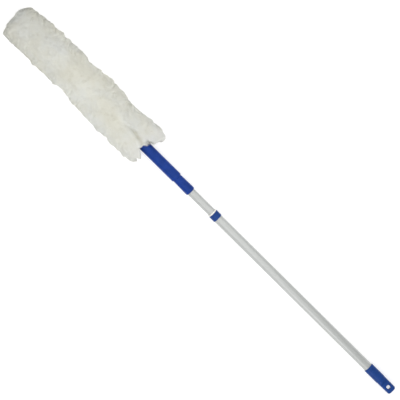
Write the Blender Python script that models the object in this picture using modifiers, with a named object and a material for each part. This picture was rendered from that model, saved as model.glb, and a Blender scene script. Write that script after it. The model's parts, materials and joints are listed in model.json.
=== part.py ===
"""A telescopic feather duster, lying on a table.

A flat sleeve of pile fabric slips over a padded core board. The board's neck is clamped in a blue handle, which
screws onto the tip of a two-part pole. An internal expander locks the two tubes when one is twisted.

Units are metres. The pole's axis runs along +X at the height AXIS_Z, from the sleeve's tip at -X to the end cap
at +X. The origin is on the table, under the middle of the duster.
"""

import math

import bmesh
import bpy
from mathutils import Vector

# ---------------------------------------------------------------- driving dimensions
HALF_LENGTH = 0.7250  # half of the duster's length, pole nearly closed
AXIS_Z = 0.0156  # height of the pole's axis above the table
GAP = 0.0003  # between pieces that touch

OUTER_TUBE_R, OUTER_TUBE_WALL = 0.0125, 0.0008
INNER_TUBE_R, INNER_TUBE_WALL = 0.0113, 0.0010
GRIP_R = 0.0150
ADAPTER_R = 0.0139
COLLAR_R = 0.0138
CAP_R = 0.0141

# Stations along the axis.
SLEEVE_TIP = -HALF_LENGTH
SLEEVE_MOUTH = -0.2295  # where the middle of the mouth is cut back for the handle
FLAP_END = {1: -0.1965, -1: -0.2075}  # the mouth's two flaps, at +Y and -Y
GRIP_TOP, GRIP_END = -0.2275, -0.0995
ADAPTER_TOP, ADAPTER_END = GRIP_END + GAP, -0.0460
INNER_TUBE_START, INNER_TUBE_END = -0.0915, 0.5310
BUSH_LIP = 0.0340
COLLAR_TOP, COLLAR_END = 0.0380, 0.0570
OUTER_TUBE_START, OUTER_TUBE_END = 0.0421, 0.6780
CAP_TOP, CAP_END = 0.6325, HALF_LENGTH

# The sleeve and its pocket.
SLEEVE_HALF_WIDTH, MOUTH_HALF_WIDTH = 0.0570, 0.0610
SLEEVE_ABOVE, SLEEVE_BELOW = 0.0300, AXIS_Z
POCKET_HALF_WIDTH, POCKET_HALF_HEIGHT = 0.0410, 0.0085
POCKET_TIP = SLEEVE_TIP + 0.014

# The core: a board with a strip and foam pads on it.
BOARD_TIP = POCKET_TIP + 0.0115
BOARD_HALF_WIDTH, BOARD_HALF_THICK = 0.0370, 0.0013
BOARD_SHOULDER, BOARD_NECK_START, BOARD_NECK_END = -0.2900, -0.2480, -0.1780
BOARD_NECK_HALF_WIDTH = 0.0100
STRIP_HALF_WIDTH, STRIP_THICK = 0.0070, 0.0014
FOAM_THICK, FOAM_INSET = 0.0044, 0.0010

# The neck clamp in the handle's upper bore.
NECK_R = 0.0124
NECK_START, NECK_END = -0.2330, -0.1740
NECK_SCREW_XS = (-0.2150, -0.1870)
GRIP_SCREW_X = -0.2010

# The screwed joint between the handle and the pole's tip. The stud's radius is that of its crests.
STUD_R, STUD_LENGTH = 0.0093, 0.0254
STUD_CLEARANCE = 0.0004
BUSH_R = 0.0125
WASHER_THICK = 0.0019

# The twist lock inside the outer tube.
SPINDLE_R = 0.0040
EXPANDER_R = 0.0114
EXPANDER_START, EXPANDER_END = INNER_TUBE_END + 0.0060, INNER_TUBE_END + 0.0340
CONE_START, CONE_END = EXPANDER_END - 0.0080, EXPANDER_END + 0.0060
CONE_SMALL_R, CONE_LARGE_R = 0.0065, 0.0098
CONE_TRAVEL = 0.0020
SPINDLE_END = CONE_END + CONE_TRAVEL + 0.0010

# The cap: a socket for the tube, a waist, and a flattened end with a hole to hang it by.
CAP_WAIST_X, CAP_WAIST_R, CAP_END_R = 0.6815, 0.0134, 0.0130
CAP_SLOPE_START, CAP_FLAT_START, CAP_FLAT_HALF_HEIGHT = 0.6860, 0.6950, 0.0085
HANG_HOLE_X, HANG_HOLE_LENGTH, HANG_HOLE_WIDTH = 0.7095, 0.0116, 0.0092

TIP_RIVET_X, CAP_RIVET_X = -0.0720, 0.6600
RIVET_R = 0.0020
ROUND_STEPS = 36  # sides of a large round piece
SMALL_STEPS = 20  # sides of a screw or rivet

BLUE = (0.022, 0.058, 0.270)
WHITE_PILE = (0.70, 0.70, 0.64)
TUBE_GREY = (0.58, 0.60, 0.58)
NYLON = (0.78, 0.77, 0.72)
STEEL = (0.45, 0.45, 0.46)
FOAM_GREY = (0.30, 0.31, 0.32)
RUBBER = (0.03, 0.03, 0.03)


# ---------------------------------------------------------------- scene, materials, helpers
def empty_scene():
    for old in list(bpy.data.objects):
        bpy.data.objects.remove(old)
    made = []
    for name in ("feather_duster", "cutters"):
        collection = bpy.data.collections.new(name)
        bpy.context.scene.collection.children.link(collection)
        made.append(collection)
    return made


PARTS, CUTTERS = empty_scene()


def material(name, colour, roughness, metallic=0.0):
    made = bpy.data.materials.new(name)
    made.use_nodes = True
    shader = made.node_tree.nodes["Principled BSDF"]
    shader.inputs["Base Color"].default_value = (*colour, 1.0)
    shader.inputs["Roughness"].default_value = roughness
    shader.inputs["Metallic"].default_value = metallic
    return made


BLUE_PLASTIC = material("blue_plastic", BLUE, 0.45)
PILE_FABRIC = material("pile_fabric", WHITE_PILE, 0.95)
PAINTED_TUBE = material("painted_tube", TUBE_GREY, 0.35, 0.6)
NATURAL_NYLON = material("natural_nylon", NYLON, 0.5)
ZINC_STEEL = material("zinc_steel", STEEL, 0.3, 1.0)
CORE_FOAM = material("core_foam", FOAM_GREY, 0.9)
BLACK_RUBBER = material("black_rubber", RUBBER, 0.8)


def place(name, data, look, collection=PARTS, at=(0, 0, 0), turn=(0, 0, 0)):
    made = bpy.data.objects.new(name, data)
    made.location = at
    made.rotation_euler = turn
    if look is not None:
        data.materials.append(look)
    collection.objects.link(made)
    if collection is CUTTERS:
        made.hide_render = True
        made.display_type = "WIRE"
    return made


def signed_area(points):
    following = points[1:] + points[:1]
    return sum(a[0] * b[1] - b[0] * a[1] for a, b in zip(points, following)) / 2


def turned(name, profile, look, solid=False, steps=ROUND_STEPS, collection=PARTS, x=0.0, turn=(0, math.pi / 2, 0)):
    """A turned piece: profile holds (distance along the axis, radius) pairs, and turn points its axis.

    The profile of a ring is a closed outline. That of a solid starts and ends on the axis.
    """
    if signed_area(profile) < 0:
        profile = profile[::-1]
    count = len(profile)
    edges = [(i, (i + 1) % count) for i in range(count - 1 if solid else count)]
    mesh = bpy.data.meshes.new(name)
    mesh.from_pydata([(radius, 0, along) for along, radius in profile], edges, [])
    made = place(name, mesh, look, collection, at=(x, 0, AXIS_Z), turn=turn)
    screw = made.modifiers.new("turn", "SCREW")
    screw.steps = screw.render_steps = steps
    screw.use_merge_vertices = True
    screw.merge_threshold = 1e-6
    screw.use_smooth_shade = True
    return made


def as_mesh(source):
    """The evaluated object as a plain mesh object of the same name, with its caps welded."""
    seen = source.evaluated_get(bpy.context.evaluated_depsgraph_get())
    mesh = bpy.data.meshes.new_from_object(seen)
    name, matrix = source.name, source.matrix_world.copy()
    collection = source.users_collection[0]
    bpy.data.objects.remove(source)
    mesh.name = name
    work = bmesh.new()
    work.from_mesh(mesh)
    bmesh.ops.remove_doubles(work, verts=work.verts, dist=1e-6)
    work.to_mesh(mesh)
    work.free()
    made = place(name, mesh, None, collection)
    made.matrix_world = matrix
    return made


def cut(target, *cutters):
    for cutter in cutters:
        boolean = target.modifiers.new("cut", "BOOLEAN")
        boolean.operation = "DIFFERENCE"
        boolean.object = cutter
    return target


def box_cutter(name, low, high):
    """A box between two corners, given from the pole's axis."""
    mesh = bpy.data.meshes.new(name)
    work = bmesh.new()
    bmesh.ops.create_cube(work, size=1.0)
    bmesh.ops.scale(work, vec=Vector(high) - Vector(low), verts=work.verts)
    work.to_mesh(mesh)
    work.free()
    middle = (Vector(high) + Vector(low)) / 2 + Vector((0, 0, AXIS_Z))
    return place(name, mesh, None, CUTTERS, at=middle)


UP, DOWN = (0, 0, 0), (math.pi, 0, 0)  # turns that point a turned piece's axis across the pole's


def drill(name, x, radius, inner, outer, turn):
    """A round cutter across the axis at x, from one distance to another."""
    profile = [(inner, 0), (inner, radius), (outer, radius), (outer, 0)]
    return turned(name, profile, None, True, SMALL_STEPS, CUTTERS, x, turn)


def fastener(name, x, turn, head_r, head, shank_r, shank):
    """A screw or rivet across the axis at x: head and shank each span from one distance to another."""
    dome = 0.3 * (head[1] - head[0])
    profile = [
        (shank[0], 0),
        (shank[0], 0.6 * shank_r),
        (shank[0] + 0.4 * shank_r, shank_r),
        (head[0], shank_r),
        (head[0], head_r),
        (head[1] - dome, head_r),
        (head[1], 0.75 * head_r),
        (head[1], 0),
    ]
    return turned(name, profile, ZINC_STEEL, True, SMALL_STEPS, x=x, turn=turn)


def flat_piece(name, outline, low, high, look, collection=PARTS, turn=(0, 0, 0)):
    """A flat outline round the pole's axis, made solid between two heights."""
    curve = bpy.data.curves.new(name, "CURVE")
    curve.dimensions = "2D"
    curve.fill_mode = "BOTH"
    curve.extrude = (high - low) / 2
    spline = curve.splines.new("POLY")
    spline.points.add(len(outline) - 1)
    for point, (x, y) in zip(spline.points, outline):
        point.co = (x, y, 0, 1)
    spline.use_cyclic_u = True
    made = place(name, curve, look, collection, at=(0, 0, AXIS_Z + (low + high) / 2), turn=turn)
    bpy.context.view_layer.update()
    return as_mesh(made)


def arc(centre, radius, start, end, count):
    """Points of an arc in a plane, with angles in degrees."""
    angles = [math.radians(start + (end - start) * i / count) for i in range(count + 1)]
    return [(centre[0] + radius * math.cos(a), centre[1] + radius * math.sin(a)) for a in angles]


def smooth(t):
    t = min(1.0, max(0.0, t))
    return t * t * (3 - 2 * t)


def signed_power(value, power):
    return math.copysign(abs(value) ** power, value)


# ---------------------------------------------------------------- the sleeve
def end_rounding(x, tip, length, power):
    """From 0 at the closed tip to 1 at that length from it."""
    left = max(0.0, 1 - (x - tip) / length)
    return max(0.0, 1 - left**power) ** 0.5


def outer_section(x, angle):
    """The sleeve's outside at x: flat below, where it rests, and crowned above."""
    from_tip = x - SLEEVE_TIP
    width = (0.94 + 0.06 * smooth(from_tip / 0.15)) * SLEEVE_HALF_WIDTH
    width += (MOUTH_HALF_WIDTH - SLEEVE_HALF_WIDTH) * smooth((from_tip - 0.28) / 0.06)
    width *= end_rounding(x, SLEEVE_TIP, 0.045, 2.4)
    above = math.sin(angle) >= 0
    height = SLEEVE_ABOVE if above else SLEEVE_BELOW
    height *= end_rounding(x, SLEEVE_TIP, 0.035, 2.2)
    return width * signed_power(math.cos(angle), 0.8), height * signed_power(math.sin(angle), 0.8 if above else 0.5)


def pocket_section(x, angle):
    """The pocket that holds the core: it opens out at the mouth, round the neck clamp."""
    opening = smooth((x - (SLEEVE_MOUTH - 0.032)) / 0.024)
    width = (POCKET_HALF_WIDTH + 0.002 * opening) * end_rounding(x, POCKET_TIP, 0.042, 2.2)
    height = (POCKET_HALF_HEIGHT + 0.0050 * opening) * end_rounding(x, POCKET_TIP, 0.042, 6.0)
    return width * signed_power(math.cos(angle), 0.5), height * signed_power(math.sin(angle), 0.5)


def mouth_x(angle):
    """Where the sleeve ends: two flaps at the sides, and a notch above and below for the handle."""
    nearest = min(abs(section(SLEEVE_MOUTH, angle)[0]) for section in (outer_section, pocket_section))
    side = 1 if math.cos(angle) >= 0 else -1
    return SLEEVE_MOUTH + (FLAP_END[side] - SLEEVE_MOUTH) * smooth((nearest - 0.0165) / 0.0050)


def skin(work, tip, section, rows, columns):
    """The rings of one surface of the sleeve, from near its closed tip to the mouth, and the tip's vertex."""
    rings = []
    for row in range(1, rows + 1):
        share = (row / rows) ** 2.2  # rows crowd towards the rounded tip
        ring = []
        for column in range(columns):
            angle = 2 * math.pi * (column + 0.5) / columns
            x = tip + (mouth_x(angle) - tip) * share
            ring.append(work.verts.new((x, *section(x, angle))))
        rings.append(ring)
    return work.verts.new((tip, 0, 0)), rings


def make_sleeve():
    columns = 40
    work = bmesh.new()
    outer_tip, outer = skin(work, SLEEVE_TIP, outer_section, 18, columns)
    pocket_tip, pocket = skin(work, POCKET_TIP, pocket_section, 12, columns)
    rings = outer + pocket[::-1]
    for i in range(columns):
        j = (i + 1) % columns
        for ring, after in zip(rings, rings[1:]):
            work.faces.new((ring[i], ring[j], after[j], after[i]))
        work.faces.new((outer_tip, outer[0][j], outer[0][i]))
        work.faces.new((pocket_tip, pocket[0][i], pocket[0][j]))
    bmesh.ops.recalc_face_normals(work, faces=work.faces)
    mesh = bpy.data.meshes.new("sleeve")
    work.to_mesh(mesh)
    work.free()
    mesh.shade_smooth()
    place("sleeve", mesh, PILE_FABRIC, at=(0, 0, AXIS_Z))


# ---------------------------------------------------------------- the core inside the sleeve
def board_outline(inset):
    """The wide part in plan: a round tip and straight sides up to the shoulder."""
    half = BOARD_HALF_WIDTH - inset
    tip = arc((BOARD_TIP + BOARD_HALF_WIDTH, 0), half, 90, 270, 20)
    return tip + [(BOARD_SHOULDER, -half), (BOARD_SHOULDER, half)]


def neck_outline():
    half = BOARD_NECK_HALF_WIDTH
    right = [(BOARD_NECK_START, -half), (BOARD_NECK_END, -half)]
    return right + [(x, -y) for x, y in reversed(right)]


def strip_outline(half, end):
    start = BOARD_TIP + 0.020
    return arc((start + half, 0), half, 90, 270, 10) + [(end, -half), (end, half)]


STRIP_LOW = BOARD_HALF_THICK + GAP
STRIP_HIGH = STRIP_LOW + STRIP_THICK
FOAM_HIGH = STRIP_LOW + FOAM_THICK


def make_core():
    wide = board_outline(0)
    outline = wide[:-1] + neck_outline() + wide[-1:]
    board = flat_piece("core_board", outline, -BOARD_HALF_THICK, BOARD_HALF_THICK, NATURAL_NYLON)
    strip = flat_piece(
        "bend_strip", strip_outline(STRIP_HALF_WIDTH, BOARD_NECK_END), STRIP_LOW, STRIP_HIGH, ZINC_STEEL
    )
    for number, x in enumerate(NECK_SCREW_XS, start=1):
        hole = drill(f"neck_hole_{number}", x, 0.0020, -0.005, 0.005, UP)
        cut(board, hole)
        cut(strip, hole)
    upper = flat_piece("foam_pad_top", board_outline(FOAM_INSET), STRIP_LOW, FOAM_HIGH, CORE_FOAM)
    groove = strip_outline(STRIP_HALF_WIDTH + GAP, BOARD_SHOULDER + 0.01)
    cut(upper, flat_piece("strip_groove", groove, STRIP_LOW - 0.001, STRIP_HIGH + GAP, None, CUTTERS))
    flat_piece("foam_pad_bottom", board_outline(FOAM_INSET), -FOAM_HIGH, -STRIP_LOW, CORE_FOAM)


# ---------------------------------------------------------------- the neck clamp and its screws
def neck_clamp(name):
    edge = 0.0020
    profile = [
        (NECK_START, 0),
        (NECK_START, NECK_R - edge),
        (NECK_START + edge, NECK_R),
        (NECK_END, NECK_R),
        (NECK_END, 0),
    ]
    return turned(name, profile, NATURAL_NYLON, True, 32)


def make_neck():
    start, end, wide = NECK_START - 0.01, NECK_END + 0.01, 0.02
    flat = BOARD_HALF_THICK + GAP
    seat, head_top = 0.0088, 0.0110

    top = neck_clamp("neck_clamp_top")
    room = STRIP_HALF_WIDTH + GAP
    cut(top, box_cutter("below_top", (start, -wide, -wide), (end, wide, flat)))
    cut(top, box_cutter("strip_room", (start, -room, 0), (end, room, STRIP_HIGH + GAP)))
    bottom = neck_clamp("neck_clamp_bottom")
    cut(bottom, box_cutter("above_bottom", (start, -wide, -flat), (end, wide, wide)))
    for number, x in enumerate(NECK_SCREW_XS, start=1):
        cut(top, drill(f"neck_bore_{number}", x, 0.0020, 0, 0.02, UP))
        cut(top, drill(f"neck_head_room_{number}", x, 0.0036, seat, 0.02, UP))
        cut(bottom, drill(f"neck_thread_{number}", x, 0.0019, 0, 0.0105, DOWN))
        fastener(f"neck_screw_{number}", x, UP, 0.0032, (seat + GAP, head_top), 0.0016, (-0.0100, seat + GAP))
    cut(bottom, drill("grip_screw_thread", GRIP_SCREW_X, 0.0017, 0.0068, 0.02, DOWN))
    fastener("grip_screw", GRIP_SCREW_X, DOWN, 0.0028, (0.0136, 0.0148), 0.0014, (0.0072, 0.0136))


# ---------------------------------------------------------------- the handle and the screwed joint
def make_handle():
    edge = 0.0014
    neck_bore, bush_bore = NECK_R + GAP, BUSH_R + GAP
    web_start, web_end, web_r = NECK_END + 0.001, NECK_END + 0.006, 0.006
    profile = [
        (GRIP_TOP, neck_bore),
        (GRIP_TOP, GRIP_R - edge),
        (GRIP_TOP + 0.4 * edge, GRIP_R - 0.4 * edge),
        (GRIP_TOP + edge, GRIP_R),
        (GRIP_END - 0.0034, GRIP_R),
        (GRIP_END - 0.0014, GRIP_R - 0.0006),
        (GRIP_END, ADAPTER_R),
        (GRIP_END, bush_bore),
        (web_end, bush_bore),
        (web_end, web_r),
        (web_start, web_r),
        (web_start, neck_bore),
    ]
    grip = turned("handle_grip", profile, BLUE_PLASTIC)
    cut(grip, drill("grip_screw_hole", GRIP_SCREW_X, 0.0017, 0.011, 0.03, DOWN))
    cut(grip, drill("grip_screw_sink", GRIP_SCREW_X, 0.0032, 0.0133, 0.03, DOWN))

    bore = STUD_R + STUD_CLEARANCE
    washer_end = ADAPTER_TOP - GAP
    washer_start = washer_end - WASHER_THICK
    profile = [(washer_start, bore), (washer_start, BUSH_R), (washer_end, BUSH_R), (washer_end, bore)]
    turned("seat_washer", profile, BLACK_RUBBER, steps=32)
    bush_end = washer_start - GAP
    bush_start = bush_end - STUD_LENGTH - 0.004
    profile = [(bush_start, bore), (bush_start, BUSH_R), (bush_end, BUSH_R), (bush_end, bore)]
    turned("thread_bush", profile, NATURAL_NYLON)


def make_tip_adapter():
    stud_start, chamfer = ADAPTER_TOP - STUD_LENGTH, 0.0015
    bore, socket_end = INNER_TUBE_R + GAP, INNER_TUBE_START - GAP
    profile = [
        (stud_start, 0),
        (stud_start, STUD_R - chamfer),
        (stud_start + chamfer, STUD_R),
        (ADAPTER_TOP, STUD_R),
        (ADAPTER_TOP, ADAPTER_R - 0.0008),
        (ADAPTER_TOP + 0.0008, ADAPTER_R),
        (ADAPTER_END - 0.0024, ADAPTER_R),
        (ADAPTER_END - 0.0008, ADAPTER_R - 0.0007),
        (ADAPTER_END, ADAPTER_R - 0.0015),
        (ADAPTER_END, bore),
        (socket_end, bore),
        (socket_end, 0),
    ]
    adapter = turned("tip_adapter", profile, BLUE_PLASTIC, True)
    rivet_hole = drill("tip_rivet_hole", TIP_RIVET_X, RIVET_R + GAP, 0.009, 0.03, DOWN)
    cut(adapter, rivet_hole)
    head = (ADAPTER_R + GAP, ADAPTER_R + 0.0013)
    fastener("tip_rivet", TIP_RIVET_X, DOWN, 0.0040, head, RIVET_R, (0.0092, head[0]))
    return rivet_hole


# ---------------------------------------------------------------- the pole
def tube(name, start, end, radius, wall):
    inner = radius - wall
    return turned(name, [(start, inner), (start, radius), (end, radius), (end, inner)], PAINTED_TUBE)


def make_pole(tip_rivet_hole):
    inner_tube = tube("inner_tube", INNER_TUBE_START, INNER_TUBE_END, INNER_TUBE_R, INNER_TUBE_WALL)
    cut(inner_tube, tip_rivet_hole)
    outer_tube = tube("outer_tube", OUTER_TUBE_START, OUTER_TUBE_END, OUTER_TUBE_R, OUTER_TUBE_WALL)

    bore, edge = OUTER_TUBE_R + GAP, 0.0006
    profile = [
        (COLLAR_TOP, bore),
        (COLLAR_TOP, COLLAR_R - edge),
        (COLLAR_TOP + edge, COLLAR_R),
        (COLLAR_END - edge, COLLAR_R),
        (COLLAR_END, COLLAR_R - edge),
        (COLLAR_END, bore),
    ]
    turned("collar", profile, BLUE_PLASTIC)

    bore, lip_r = INNER_TUBE_R + GAP, COLLAR_R - 0.0005
    lip_end, bush_end = COLLAR_TOP - GAP, OUTER_TUBE_START - GAP
    profile = [
        (BUSH_LIP, bore),
        (BUSH_LIP, lip_r - 0.0004),
        (BUSH_LIP + 0.0004, lip_r),
        (lip_end, lip_r),
        (lip_end, OUTER_TUBE_R),
        (bush_end, OUTER_TUBE_R),
        (bush_end, bore),
    ]
    turned("collar_bush", profile, NATURAL_NYLON)
    return outer_tube


# ---------------------------------------------------------------- the twist lock
def make_lock():
    plug_r, flange_r = INNER_TUBE_R - INNER_TUBE_WALL - GAP, EXPANDER_R - 0.0003
    flange_start, flange_end = INNER_TUBE_END + GAP, INNER_TUBE_END + 0.0025
    plug_start = INNER_TUBE_END - 0.0280
    screw_end, screw_bore = SPINDLE_END - 0.0100, 0.0016
    profile = [
        (plug_start, 0),
        (plug_start, plug_r),
        (flange_start, plug_r),
        (flange_start, flange_r),
        (flange_end, flange_r),
        (flange_end, SPINDLE_R),
        (SPINDLE_END, SPINDLE_R),
        (SPINDLE_END, screw_bore),
        (screw_end, screw_bore),
        (screw_end, 0),
    ]
    turned("lock_plug", profile, NATURAL_NYLON, True, 32)

    bore = SPINDLE_R + GAP
    shoulder = CONE_END - 0.0020
    profile = [
        (CONE_START, bore),
        (CONE_START, CONE_SMALL_R),
        (shoulder, CONE_LARGE_R),
        (CONE_END, CONE_LARGE_R),
        (CONE_END, bore),
    ]
    turned("cone_nut", profile, NATURAL_NYLON, steps=32)

    slope = (CONE_LARGE_R - CONE_SMALL_R) / (shoulder - CONE_START)
    throat_r = CONE_SMALL_R + 2 * GAP
    mouth_r = throat_r + slope * (EXPANDER_END - CONE_START)
    throat = CONE_START - GAP
    profile = [
        (EXPANDER_START, bore),
        (EXPANDER_START, EXPANDER_R - 0.0008),
        (EXPANDER_START + 0.0008, EXPANDER_R),
        (EXPANDER_END, EXPANDER_R),
        (EXPANDER_END, mouth_r),
        (CONE_START, throat_r),
        (throat, throat_r),
        (throat, bore),
    ]
    expander = turned("expander_ring", profile, BLACK_RUBBER, steps=32)
    past = 0.001
    low = (EXPANDER_START - past, -0.0010, 0.002)
    high = (EXPANDER_END + past, 0.0010, EXPANDER_R + past)
    cut(expander, box_cutter("expander_slit", low, high))

    head_start, head_r, thread_r = SPINDLE_END + GAP, 0.0060, 0.0013
    profile = [
        (SPINDLE_END - 0.0095, 0),
        (SPINDLE_END - 0.0095, thread_r),
        (head_start, thread_r),
        (head_start, head_r),
        (head_start + 0.0016, head_r),
        (head_start + 0.0024, 0.8 * head_r),
        (head_start + 0.0024, 0),
    ]
    turned("stop_screw", profile, ZINC_STEEL, True, SMALL_STEPS)


# ---------------------------------------------------------------- the end cap
def hang_hole_outline():
    """A rectangle with round corners, longer along the pole."""
    radius = 0.35 * HANG_HOLE_WIDTH
    dx, dy = HANG_HOLE_LENGTH / 2 - radius, HANG_HOLE_WIDTH / 2 - radius
    corners = ((dx, dy, 0), (-dx, dy, 90), (-dx, -dy, 180), (dx, -dy, 270))
    return [p for x, y, start in corners for p in arc((HANG_HOLE_X + x, y), radius, start, start + 90, 5)]


def cap_flat_cutter(side):
    """What is cut off one side of the cap's end: a wedge that slopes in at its start, and then a flat."""
    deep, high = side * CAP_FLAT_HALF_HEIGHT, side * 0.03
    outline = [
        (CAP_SLOPE_START, high),
        (CAP_SLOPE_START, side * CAP_R),
        (CAP_FLAT_START, deep),
        (CAP_END + 0.01, deep),
        (CAP_END + 0.01, high),
    ]
    name = "cap_flat_above" if side > 0 else "cap_flat_below"
    return flat_piece(name, outline, -0.02, 0.02, None, CUTTERS, turn=(math.pi / 2, 0, 0))


def make_end_cap(outer_tube):
    bore, edge, corner = OUTER_TUBE_R + GAP, 0.0008, 0.0040
    socket_end = OUTER_TUBE_END + GAP
    profile = [
        (socket_end, 0),
        (socket_end, bore),
        (CAP_TOP, bore),
        (CAP_TOP, CAP_R - edge),
        (CAP_TOP + edge, CAP_R),
        (CAP_WAIST_X - 0.0040, CAP_R),
        (CAP_WAIST_X, CAP_WAIST_R),
    ]
    profile += arc((CAP_END - corner, CAP_END_R - corner), corner, 90, 0, 6)
    profile += [(CAP_END, 0)]
    cap = turned("end_cap", profile, BLUE_PLASTIC, True)
    cut(cap, cap_flat_cutter(1), cap_flat_cutter(-1))
    cut(cap, flat_piece("hang_hole", hang_hole_outline(), -0.02, 0.02, None, CUTTERS))
    rivet_hole = drill("cap_rivet_hole", CAP_RIVET_X, RIVET_R + GAP, 0.009, 0.03, DOWN)
    cut(cap, rivet_hole)
    cut(outer_tube, rivet_hole)
    head = (CAP_R + GAP, CAP_R + 0.0013)
    fastener("cap_rivet", CAP_RIVET_X, DOWN, 0.0040, head, RIVET_R, (0.0104, head[0]))


make_sleeve()
make_core()
make_neck()
make_handle()
make_end_cap(make_pole(make_tip_adapter()))
make_lock()
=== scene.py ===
"""The looks of the telescopic duster: its pile sleeve, blue plastic, tubes and screws, on a pale floor."""

import json
import math

import bmesh
import bpy
import numpy as np
from mathutils import Matrix, Vector, noise


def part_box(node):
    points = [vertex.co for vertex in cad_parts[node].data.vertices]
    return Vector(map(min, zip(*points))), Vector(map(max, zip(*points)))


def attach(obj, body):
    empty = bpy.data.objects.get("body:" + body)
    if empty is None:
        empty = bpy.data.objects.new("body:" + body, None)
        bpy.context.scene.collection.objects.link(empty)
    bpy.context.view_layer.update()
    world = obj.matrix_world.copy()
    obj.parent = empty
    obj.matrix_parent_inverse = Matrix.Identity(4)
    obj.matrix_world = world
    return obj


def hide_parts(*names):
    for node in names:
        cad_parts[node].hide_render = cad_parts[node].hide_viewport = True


noise.seed_set(7)  # noise_vector starts from the clock unless it has a seed

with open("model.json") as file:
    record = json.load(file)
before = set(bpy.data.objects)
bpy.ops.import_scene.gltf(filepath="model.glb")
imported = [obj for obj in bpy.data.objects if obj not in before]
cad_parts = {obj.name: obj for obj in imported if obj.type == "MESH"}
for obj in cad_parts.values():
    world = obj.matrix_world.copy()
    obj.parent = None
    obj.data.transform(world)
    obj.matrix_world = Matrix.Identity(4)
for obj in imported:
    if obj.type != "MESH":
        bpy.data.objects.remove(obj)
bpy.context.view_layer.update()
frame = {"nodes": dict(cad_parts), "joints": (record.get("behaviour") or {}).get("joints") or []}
nodes = frame["nodes"]
joints = {joint["name"]: joint for joint in frame["joints"]}

TAU = 2 * math.pi
MM = 0.001
GAP = 0.0003  # between pieces that touch


# ---------------------------------------------------------------- places and sizes, from the frame
def span(node):
    """A node's start and end along X, and its largest radius about the pole's axis."""
    low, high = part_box(node)
    return low.x, high.x, (high.y - low.y) / 2


AXIS_Z = joints["twist_lock"]["pos_m"][2]
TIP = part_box("sleeve")[0].x
OUTER_R = span("outer_tube")[2]
INNER_R = span("inner_tube")[2]
GRIP_R = span("handle_grip")[2]
ADAPTER_R = span("tip_adapter")[2]
COLLAR_R = span("collar")[2]
CAP_R = span("end_cap")[2]
OUTER_WALL, INNER_WALL = 0.8 * MM, 1.0 * MM
STUD_R, STUD_LENGTH, THREAD_PITCH = 9.3 * MM, 25.4 * MM, 5.08 * MM
SIDES = 96  # round a turned piece


# ---------------------------------------------------------------- small maths
def smooth(t):
    t = np.clip(t, 0.0, 1.0)
    return t * t * (3 - 2 * t)


def signed_power(value, power):
    return np.sign(value) * np.abs(value) ** power


def unit(vectors):
    return vectors / np.maximum(np.linalg.norm(vectors, axis=-1, keepdims=True), 1e-12)


def eased(x, points):
    """A smooth curve through (x, value) pairs."""
    xs, values = np.array(points).T
    i = np.clip(np.searchsorted(xs, x) - 1, 0, len(xs) - 2)
    share = smooth((x - xs[i]) / (xs[i + 1] - xs[i]))
    return values[i] + (values[i + 1] - values[i]) * share


def sampled(function, points):
    """A noise function's value at each of the points, which may be an array of any shape."""
    flat = points.reshape(-1, 3)
    return np.array([function(Vector(p)) for p in flat]).reshape(*points.shape[:-1], -1).squeeze(-1)


# ---------------------------------------------------------------- materials
def new_material(name, colour, roughness, metallic=0.0):
    """A Principled material, with its node tree and its shader."""
    made = bpy.data.materials.new(name)
    made.use_nodes = True
    tree = made.node_tree
    shader = tree.nodes["Principled BSDF"]
    shader.inputs["Base Color"].default_value = (*colour, 1)
    shader.inputs["Roughness"].default_value = roughness
    shader.inputs["Metallic"].default_value = metallic
    return made, tree, shader


def add(tree, kind, **values):
    """A new node. Each value goes to the socket of that name, or else to the node's own setting."""
    node = tree.nodes.new(kind)
    for name, value in values.items():
        if name in node.inputs:
            node.inputs[name].default_value = value
        else:
            setattr(node, name, value)
    return node


def stretched(tree, scale=(1, 1, 1)):
    """The object's coordinates, scaled for each axis."""
    place = add(tree, "ShaderNodeTexCoord")
    mapping = add(tree, "ShaderNodeMapping", Scale=scale)
    tree.links.new(place.outputs["Object"], mapping.inputs["Vector"])
    return mapping.outputs["Vector"]


def noise_of(tree, vector, scale, detail=3.0, rough=0.5):
    texture = add(tree, "ShaderNodeTexNoise", Scale=scale, Detail=detail, Roughness=rough)
    tree.links.new(vector, texture.inputs["Vector"])
    return texture.outputs["Fac"]


def ramp(tree, factor, stops):
    """A colour ramp with (position, colour) stops; a colour may be one grey number."""
    node = tree.nodes.new("ShaderNodeValToRGB")
    elements = node.color_ramp.elements
    while len(elements) < len(stops):
        elements.new(0.5)
    for element, (position, colour) in zip(elements, stops):
        element.position = position
        element.color = (*colour, 1) if isinstance(colour, tuple) else (colour, colour, colour, 1)
    tree.links.new(factor, node.inputs["Fac"])
    return node.outputs["Color"]


def vary(tree, shader, socket, factor, stops):
    """Drives one of the shader's sockets by a ramp."""
    tree.links.new(ramp(tree, factor, stops), shader.inputs[socket])


def bump(tree, shader, height, distance):
    node = add(tree, "ShaderNodeBump", Strength=1.0, Distance=distance)
    tree.links.new(height, node.inputs["Height"])
    tree.links.new(node.outputs["Normal"], shader.inputs["Normal"])


def blue_plastic(name, deep, light):
    """Moulded polypropylene: an even blue, a little scuffed, with a fine grain."""
    made, tree, shader = new_material(name, (0.02, 0.06, 0.28), 0.45)
    place = stretched(tree)
    vary(tree, shader, "Base Color", noise_of(tree, place, 60, 4), [(0.3, deep), (0.7, light)])
    shader.inputs["Specular IOR Level"].default_value = 0.13
    scuff = noise_of(tree, stretched(tree, (0.25, 1, 1)), 180, 5, 0.6)
    vary(tree, shader, "Roughness", scuff, [(0.3, 0.30), (0.7, 0.46)])
    bump(tree, shader, noise_of(tree, place, 1600, 2), 0.00003)
    return made


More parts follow.
